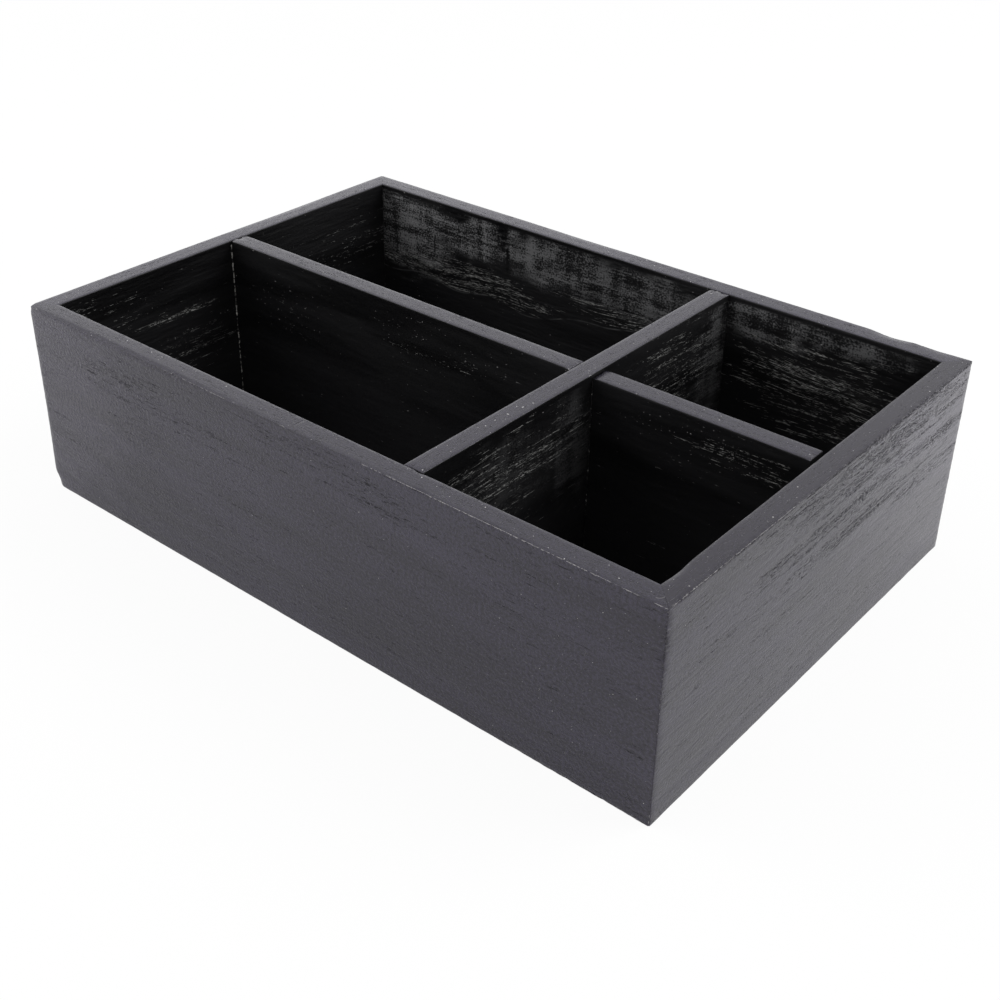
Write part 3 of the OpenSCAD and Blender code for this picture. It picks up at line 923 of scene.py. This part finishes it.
class ORGANIZER_OT_stage(OrganizerStep):
    """Places the camera, the floor and the light"""
    bl_idname = "organizer.stage"
    bl_label = "Set the Stage"

    def execute(self, context):
        stage = context.scene.organizer_stage
        self.place_camera(context, stage)
        self.lay_floor(context, stage)
        self.light(context, stage)
        context.scene.view_settings.view_transform = 'Standard'
        return {'FINISHED'}

    def place_camera(self, context, stage):
        deselect()
        back = Vector(stage.camera_at) - Vector(stage.look_at)
        turn = back.to_track_quat('Z', 'Y') @ Euler((0, 0, stage.roll)).to_quaternion()
        bpy.ops.object.camera_add(location=stage.camera_at, rotation=turn.to_euler())
        camera = context.object
        camera.name = "camera"
        camera.data.sensor_width = 36
        camera.data.lens = stage.lens
        camera.data.shift_x, camera.data.shift_y = stage.shift
        camera.data.clip_start, camera.data.clip_end = 0.01, 50
        context.scene.camera = camera

    def shown(self, w):
        """Whether a ray comes from the camera or from a mirror-like surface."""
        path = w.node("ShaderNodeLightPath").outputs
        mirrored = w.highest(path["Is Glossy Ray"], path["Is Transmission Ray"])
        return w.highest(path["Is Camera Ray"], mirrored)

    def lay_floor(self, context, stage):
        """A pale floor. Seen from below it is clear, so that it doesn't hide the underside."""
        deselect()
        bpy.ops.mesh.primitive_plane_add(size=stage.floor, location=(0, 0, -0.2 * MM))
        bpy.ops.object.transform_apply()
        floor = context.object
        floor.name = "floor"
        material = bpy.data.materials.new("Pale Floor")
        material.use_nodes = True
        material.node_tree.nodes.clear()
        w = Wires(material.node_tree)
        plain = w.node("ShaderNodeBsdfDiffuse", {"Color": (0.9, 0.9, 0.9, 1)}).outputs[0]
        white = w.node("ShaderNodeEmission", {"Color": WHITE, "Strength": 1.0}).outputs[0]
        clear = w.node("ShaderNodeBsdfTransparent").outputs[0]
        seen = w.node("ShaderNodeLightPath").outputs["Is Camera Ray"]
        more = w.product(seen, stage.floor_glow - stage.floor_gloss)
        glow = w.product(self.shown(w), w.total(stage.floor_gloss, more))
        above = w.node("ShaderNodeMixShader", {0: glow, 1: plain, 2: white}).outputs[0]
        below = w.node("ShaderNodeNewGeometry").outputs["Backfacing"]
        surface = w.node("ShaderNodeMixShader", {0: below, 1: above, 2: clear}).outputs[0]
        w.feed(w.node("ShaderNodeOutputMaterial").inputs[0], surface)
        floor.data.materials.append(material)
        floor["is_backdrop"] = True

    def light(self, context, stage):
        """An even white studio, a key light behind on the right, a fill light in front on the left, and a low
        light behind on the left, which shows in the rims."""
        world = bpy.data.worlds.new("Studio")
        world.use_nodes = True
        world.node_tree.nodes.clear()
        w = Wires(world.node_tree)
        strength = w.node("ShaderNodeMapRange", {0: self.shown(w), 3: stage.world_light, 4: 1.0}).outputs[0]
        sky = w.node("ShaderNodeBackground", {"Color": WHITE, "Strength": strength}).outputs[0]
        w.feed(w.node("ShaderNodeOutputWorld").inputs[0], sky)
        context.scene.world = world
        target = Vector((0, 0, 0.05))
        for name, (place, width, height, setting) in LAMPS.items():
            deselect()
            turn = (Vector(place) - target).to_track_quat('Z', 'Y').to_euler()
            bpy.ops.object.light_add(type='AREA', location=place, rotation=turn)
            lamp = context.object
            lamp.name = name
            lamp.data.shape = 'RECTANGLE'
            lamp.data.energy = getattr(stage, setting)
            lamp.data.size, lamp.data.size_y = width, height
            lamp.visible_camera = False


class ORGANIZER_OT_walls(OrganizerStep):
    """Models the four mitred wall boards as one sanded frame, and cuts them apart at the mitres"""
    bl_idname = "organizer.walls"
    bl_label = "Make the Walls"

    def execute(self, context):
        sizes = context.scene.organizer_boards
        low, high = CAD_BOX
        ring = self.make_ring(sizes, low, high)
        self.wear_down(sizes, ring, high)
        for seed, node in enumerate(WALLS, 5):
            self.cut_board(sizes, ring, node, high, seed)
        bpy.data.objects.remove(ring)
        return {'FINISHED'}

    def make_ring(self, sizes, low, high):
        """The frame: inset rim, rebate, through hole, then the arrises and the fine grid of faces."""
        ring = cube("ring", low, high)
        panel_low, panel_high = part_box(BOTTOM)
        rebate_in = panel_low.x - sizes.panel_room / 2 - low.x
        rebate_up = panel_high.z + sizes.panel_room
        pick(ring, 'FACE', lambda at, way: way[:, Z] > ALONG)
        with editing(ring):
            bpy.ops.mesh.inset(thickness=sizes.wall_t, use_even_offset=True)
        pick(ring, 'FACE', lambda at, way: way[:, Z] < -ALONG)
        with editing(ring):
            bpy.ops.mesh.inset(thickness=rebate_in)
            bpy.ops.mesh.extrude_region_move(TRANSFORM_OT_translate={"value": (0, 0, rebate_up)})
            bpy.ops.mesh.inset(thickness=sizes.wall_t - rebate_in)
        pick(ring, 'FACE', lambda at, way: np.abs(at[:, :2]).max(1) < MM)
        with editing(ring):
            bpy.ops.mesh.bridge_edge_loops()

        def outer(at, share=0.985):
            """Which points lie further out than this share of the half width or the half depth."""
            return np.maximum(np.abs(at[:, X]) / high.x, np.abs(at[:, Y]) / high.y) > share

        def by_hole(at):
            """Which points lie inside or on the walls' inner faces."""
            return (np.abs(at[:, X]) < high.x - sizes.wall_t + TOUCH) & (
                np.abs(at[:, Y]) < high.y - sizes.wall_t + TOUCH)

        bevel(ring, lambda at, way, size: runs(way, Z) & outer(at), sizes.corner_round, 4)
        bevel(ring, lambda at, way, size: level(at, high.z) & outer(at), sizes.outer_arris, 4)
        bevel(ring, lambda at, way, size: level(at, low.z) & outer(at), sizes.foot_arris, 3)
        bevel(ring, lambda at, way, size: level(at, high.z) & by_hole(at), sizes.inner_arris, 3)

        # The grid: columns along the boards, rows up them and across the rim, and a fine strip at the outer arris.
        split(ring, lambda at, way, size: runs(way, X) & (size > MM), 15, 11)
        split(ring, lambda at, way, size: runs(way, Y) & (size > MM), 11, 10)
        split(ring, lambda at, way, size: runs(way, Z) & (size > high.z / 2), 100)
        split(ring, lambda at, way, size: runs(way, Z) & (size < MM) & (size > 0.7 * MM), 2)
        split(ring, lambda at, way, size: level(at, high.z) & (size > 0.7 * sizes.wall_t), 10)
        arris_low = high.z - sizes.outer_arris * 1.05
        split(ring, lambda at, way, size: (runs(way, X) | runs(way, Y)) & (size > MM) & outer(at, 0.992) & (
            at[:, Z] > arris_low), 4)
        return ring

    def wear_down(self, sizes, ring, high):
        """Unevenness of the arrises, the places where the sanding went deep, and chips."""
        at = read(ring.data.vertices, "co")
        gap = np.stack([high.x - np.abs(at[:, X]), high.y - np.abs(at[:, Y])], 1)
        side, top = gap.min(1), high.z - at[:, Z]
        reach, inner_reach, foot_reach = (
            size * JUST_PAST for size in (sizes.outer_arris, sizes.inner_arris, sizes.foot_arris))
        outer = (side < reach) & (top < reach)
        corner = gap.max(1) < sizes.corner_round * JUST_PAST
        inner = (np.abs(side - sizes.wall_t) < inner_reach) & (top < inner_reach)
        foot = (side < foot_reach) & (at[:, Z] < foot_reach)
        carve(ring, weigh(ring, "outer arris", (outer | corner) & ~foot), 0.2 * MM, (9, 9, 9), seed=1)
        carve(ring, weigh(ring, "inner arris", inner), 0.14 * MM, (6, 6, 6), seed=2)
        carve(ring, weigh(ring, "foot", foot), 0.25 * MM, (5, 5, 5), seed=4)
        for name, (way, spots) in WORN_PLACES.items():
            sink(ring, weigh(ring, name, near(at, spots)), way)
        carve(ring, weigh(ring, "chips", near(at, CHIPS)), 0.6 * MM, (1.2, 1.2, 1.2), seed=3, **CHIP_CUT)
        ring.vertex_groups.clear()

    def cut_board(self, sizes, ring, node, high, seed):
        """One board: a copy of the frame, cleared beyond the mitres, given its grain, and cut."""
        facing, grain = WALLS[node]
        board = duplicate(ring)
        run = Vector((-facing.y, facing.x, 0))
        half = Vector((high.x, high.y, 0))
        depth, reach = abs(facing.dot(half)), abs(run.dot(half))

        def inward(at):
            return depth - at @ np.array(facing)

        def aside(at):
            return np.abs(at @ np.array(run))

        pick(board, 'FACE', lambda at, way: inward(at) > reach - aside(at) + 4 * MM)
        with editing(board):
            bpy.ops.mesh.delete(type='FACE')

        at = read(board.data.vertices, "co")
        # The faces' unevenness dies out towards the foot and the rim.
        by_foot = np.clip(at[:, Z] / (4 * MM) - 1.2, 0, 1)
        by_rim = np.clip((high.z - at[:, Z]) / (1.5 * MM), 0.1, 1)
        outer = weigh(board, "outer face", by_foot * by_rim * (inward(at) < 0.3 * sizes.wall_t))
        inner = weigh(board, "inner face", by_foot * by_rim * (inward(at) > 0.9 * sizes.wall_t))
        carve(board, outer, sizes.swell_depth, OUTER_SWELL, seed, grain)
        carve(board, inner, sizes.swell_depth, INNER_SWELL, seed + 5, grain)
        for group, share, cell, start, cut in (
                (outer, OUTER_GRAIN_SHARE, OUTER_GRAIN, seed + 10, OUTER_GRAIN_CUT),
                (inner, INNER_GRAIN_SHARE, INNER_GRAIN, seed + 15, INNER_GRAIN_CUT)):
            carve(board, group, sizes.grain_depth * share, cell, start, grain, *cut)

        for end in (run, -run):
            away = (end - facing).normalized()
            with editing(board):
                bpy.ops.mesh.select_all(action='SELECT')
                bpy.ops.mesh.bisect(plane_co=facing * depth + end * reach - away * sizes.seam, plane_no=away,
                                    use_fill=False, clear_outer=True, clear_inner=False, threshold=1e-6)
                bpy.ops.mesh.select_mode(type='EDGE')
                bpy.ops.mesh.select_all(action='DESELECT')
        with editing(board):
            bpy.ops.mesh.select_non_manifold(extend=False, use_wire=False, use_boundary=True,
                                             use_multi_face=False, use_non_contiguous=False, use_verts=False)
            bpy.ops.mesh.edge_face_add()

        def choose(at, way):
            within = np.where(inward(at) > sizes.wall_t - 0.5 * MM, 2, 0)
            return np.where(is_rim(at, way, high.z), 1, within)

        name = node.replace("_board", "_wall")
        outer, inner, rim = WALL_LOOKS[node]
        paints = (outside_paint(name + " outside", grain, **outer), rim_paint(name + " rim", grain, node, **rim),
                  inside_paint(name + " inside", grain, **inner))
        coat(board, paints, choose)
        done(board, name, "outside_paint", node)


class ORGANIZER_OT_dividers(OrganizerStep):
    """Models the three dividers, their ends pressed against the boards they meet"""
    bl_idname = "organizer.dividers"
    bl_label = "Make the Dividers"

    def execute(self, context):
        for index, node in enumerate(DIVIDERS):
            self.make(context.scene.organizer_boards, node, index)
        return {'FINISHED'}

    def make(self, sizes, node, index):
        grain = DIVIDERS[node]
        low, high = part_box(node)
        along, across = (X, Y) if grain == 'X' else (Y, X)
        start, stop = low.copy(), high.copy()
        start[along] -= sizes.tuck
        if node != "right_divider":
            stop[along] += sizes.tuck
        board = cube(node, start, stop)

        bevel(board, lambda at, way, size: level(at, high.z), sizes.inner_arris, 3)
        is_long = high[along] - low[along] > 1.5 * high.z
        split(board, lambda at, way, size: runs(way, along), *((10, 9) if is_long else (9, 5)))
        split(board, lambda at, way, size: runs(way, Z) & (size > high.z / 2), 96)
        split(board, lambda at, way, size: level(at, high.z) & (size > 0.7 * sizes.wall_t), 9)

        at = read(board.data.vertices, "co")
        top = high.z - at[:, Z]
        side = np.minimum(at[:, across] - low[across], high[across] - at[:, across])
        end = np.minimum(at[:, along] - low[along], high[along] - at[:, along])
        reach = sizes.inner_arris * JUST_PAST
        arris = weigh(board, "arris", (top < reach) & (side < reach))
        carve(board, arris, 0.16 * MM, (6, 6, 6), seed=20 + index)
        chips = weigh(board, "chips", (top < 1.2 * MM) * np.clip(1 - end / (2.2 * MM), 0, 1))
        carve(board, chips, 0.5 * MM, (1.4, 1.4, 1.4), seed=33 + index, **CHIP_CUT)
        calm = np.clip(top / (1.2 * MM), 0, 1) * (at[:, Z] > low.z + MM)
        faces = weigh(board, "faces", (side < 0.1 * MM) * calm)
        carve(board, faces, sizes.swell_depth, INNER_SWELL, 24 + index, grain)
        carve(board, faces, sizes.grain_depth * INNER_GRAIN_SHARE, INNER_GRAIN, 28 + index, grain,
              *INNER_GRAIN_CUT)

        paints = (inside_paint(node + " side", grain, **DIVIDER_LOOKS[node]),
                  rim_paint(node + " rim", grain, node, tone=0.75, dots=DOTS[node], seam_shade=True))
        coat(board, paints, lambda at, way: is_rim(at, way, high.z))
        done(board, node + "_board", "inside_paint", node)


class ORGANIZER_OT_bottom(OrganizerStep):
    """Models the bottom panel, with holes for the brads' heads in its underside"""
    bl_idname = "organizer.bottom"
    bl_label = "Make the Bottom Panel"

    def execute(self, context):
        low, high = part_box(BOTTOM)
        panel = cube("panel", low, high)
        bevel(panel, lambda at, way, size: level(at, low.z), context.scene.organizer_boards.panel_arris, 2)
        self.drill(context.scene.organizer_brads, panel)
        split(panel, lambda at, way, size: runs(way, X) & level(at, high.z), 12, 9)
        split(panel, lambda at, way, size: runs(way, Y) & level(at, high.z), 14, 12)
        at = read(panel.data.vertices, "co")
        within = level(at, high.z) & (np.abs(at[:, X]) < high.x - MM) & (np.abs(at[:, Y]) < high.y - MM)
        carve(panel, weigh(panel, "top face", within), 0.1 * MM, (20, 3, 3), seed=40)
        paints = inside_paint("bottom top", 'X', lie="flat", **FLOOR_LOOK), underside_paint("bottom underside")
        coat(panel, paints, lambda at, way: at[:, Z] < high.z - MM)
        done(panel, "bottom_board", "inside_paint", BOTTOM)
        return {'FINISHED'}

    def drill(self, brads, panel):
        """Sinks a flared hole round each brad's head that shows in the underside."""
        bits = []
        for centre, radius, head_top in brad_heads():
            deselect()
            hole = radius + brads.hole_room
            bpy.ops.mesh.primitive_cone_add(vertices=20, radius1=hole + brads.hole_flare, radius2=hole,
                                            depth=2 * (head_top + 0.02 * MM), location=(*centre, 0))
            bits.append(bpy.context.object)
        bit = join(bits[::-1])
        finish_with(panel, 'BOOLEAN', object=bit, operation='DIFFERENCE')
        bpy.data.objects.remove(bit)


def all_brads():
    """The CAD's own meshes of the brads."""
    return [node for name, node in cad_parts.items() if name.endswith("_brads")]


def brad_heads():
    """Where the heads in the underside are: the middle, the radius and the height of the head's top."""
    for node in all_brads():
        at = read(node.data.vertices, "co")
        face = at[level(at, at[:, Z].min())]
        if face[0, Z] > 2 * MM:
            continue
        run = int(np.ptp(face[:, Y]) > np.ptp(face[:, X]))
        face = face[np.argsort(face[:, run])]
        for head in np.split(face, np.flatnonzero(np.diff(face[:, run]) > 3 * MM) + 1):
            low, high = head.min(0), head.max(0)
            centre, radius = (low + high)[:2] / 2, (high[X] - low[X]) / 2
            rim = at[np.abs(np.hypot(*(at[:, :2] - centre).T) - radius) < 0.02 * MM]
            yield centre, radius, rim[:, Z].max()


def compartments():
    """Each compartment's name, its upright corners with the way that each opens, and the height of its walls."""
    inner_x, inner_y = HALF_X * MM - WALL * MM, HALF_Y * MM - WALL * MM
    (cross_low, cross_high), (left_low, left_high), (right_low, right_high) = map(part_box, DIVIDERS)
    left, right = (-inner_x, cross_low.x), (cross_high.x, inner_x)
    rooms = {
        "front_left": (left, (-inner_y, left_low.y), left_high.z),
        "back_left": (left, (left_high.y, inner_y), left_high.z),
        "front_right": (right, (-inner_y, right_low.y), right_high.z),
        "back_right": (right, (right_high.y, inner_y), right_high.z),
    }
    for name, (x, y, top) in rooms.items():
        corners = [(Vector((x[i], y[j], 0)), Vector((1 - 2 * i, 1 - 2 * j, 0))) for i in (0, 1) for j in (0, 1)]
        if x is right:
            # The right divider stops short of the wall, so no bead runs up there.
            divider_side = y["front" in name]
            corners = [c for c in corners if c[0].x < inner_x or c[0].y != divider_side]
        yield name, corners, top


class ORGANIZER_OT_beads(OrganizerStep):
    """Models one bead of dried glue, and copies it into the upright corners of the compartments"""
    bl_idname = "organizer.beads"
    bl_label = "Run the Glue Beads"

    def execute(self, context):
        sizes = context.scene.organizer_beads
        paints = (glue_paint("glue painted over", 0.25), glue_paint("glue half covered", 0.5),
                  glue_paint("glue missed by the paint", 0.85))
        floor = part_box(BOTTOM)[1].z
        seed = 50
        for name, corners, top in compartments():
            pattern = self.make_bead(sizes, floor, top - sizes.stop_short)
            beads = []
            for corner, opening in corners:
                seed += 1
                shows = opening.x > 0 > opening.y
                paint, out, bitten = SHOWN_BEADS.get(name, HIDDEN_BEAD) if shows else HIDDEN_BEAD
                bead = duplicate(pattern)
                bpy.ops.transform.translate(value=corner + opening * out * MM)
                bpy.ops.object.transform_apply()
                whole = weigh(bead, "bead", np.ones(len(bead.data.vertices)))
                carve(bead, whole, sizes.radius * bitten, (2.2, 2.2, 2.2), seed, start=0.25, full=0.6)
                bead.vertex_groups.clear()
                coat(bead, paints, lambda at, way: np.full(len(at), paint))
                beads.append(bead)
            bpy.data.objects.remove(pattern)
            done(join(beads), name + "_glue", "inside_paint")
        return {'FINISHED'}

    def make_bead(self, sizes, low, top):
        deselect()
        bpy.ops.mesh.primitive_cylinder_add(vertices=8, radius=sizes.radius, depth=top - low,
                                            location=(0, 0, (top + low) / 2))
        bpy.ops.object.transform_apply()
        bead = bpy.context.object
        bevel(bead, lambda at, way, size: level(at, top), sizes.radius * 0.5, 2)
        split(bead, lambda at, way, size: size > (top - low) / 2, 100)
        return bead


class ORGANIZER_OT_brads(OrganizerStep):
    """Gives the brads their bright steel"""
    bl_idname = "organizer.brads"
    bl_label = "Finish the Brads"

    def execute(self, context):
        steel = brad_steel("brad steel")
        for node in all_brads():
            node.data.materials.clear()
            node.data.materials.append(steel)
        return {'FINISHED'}


STEPS = (ORGANIZER_OT_stage, ORGANIZER_OT_walls, ORGANIZER_OT_dividers, ORGANIZER_OT_bottom,
         ORGANIZER_OT_beads, ORGANIZER_OT_brads)
PROPS = {
    "organizer_boards": BoardProps,
    "organizer_paint": PaintProps,
    "organizer_beads": BeadProps,
    "organizer_brads": BradProps,
    "organizer_stage": StageProps,
}


class VIEW3D_PT_organizer(bpy.types.Panel):
    """The organizer's sizes, colours and steps"""
    bl_label = "Organizer"
    bl_idname = "VIEW3D_PT_organizer"
    bl_space_type = 'VIEW_3D'
    bl_region_type = 'UI'
    bl_category = "Organizer"

    def draw(self, context):
        for name in PROPS:
            box = self.layout.box()
            group = getattr(context.scene, name)
            for key in group.bl_rna.properties.keys():
                if key not in {"rna_type", "name"}:
                    box.prop(group, key)
        for step in STEPS:
            self.layout.operator(step.bl_idname)


def register():
    for kind in (*PROPS.values(), *STEPS, VIEW3D_PT_organizer):
        bpy.utils.register_class(kind)
    for name, kind in PROPS.items():
        setattr(bpy.types.Scene, name, PointerProperty(type=kind))


def unregister():
    for name in PROPS:
        delattr(bpy.types.Scene, name)
    for kind in (VIEW3D_PT_organizer, *reversed(STEPS), *reversed(PROPS.values())):
        bpy.utils.unregister_class(kind)


def main():
    register()
    deselect()
    for step in STEPS:
        getattr(bpy.ops.organizer, step.bl_idname.partition(".")[2])()
    corners = [list(corner) for box in (CAD_BOX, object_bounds()) for corner in box]


if __name__ == "__main__":
    main()
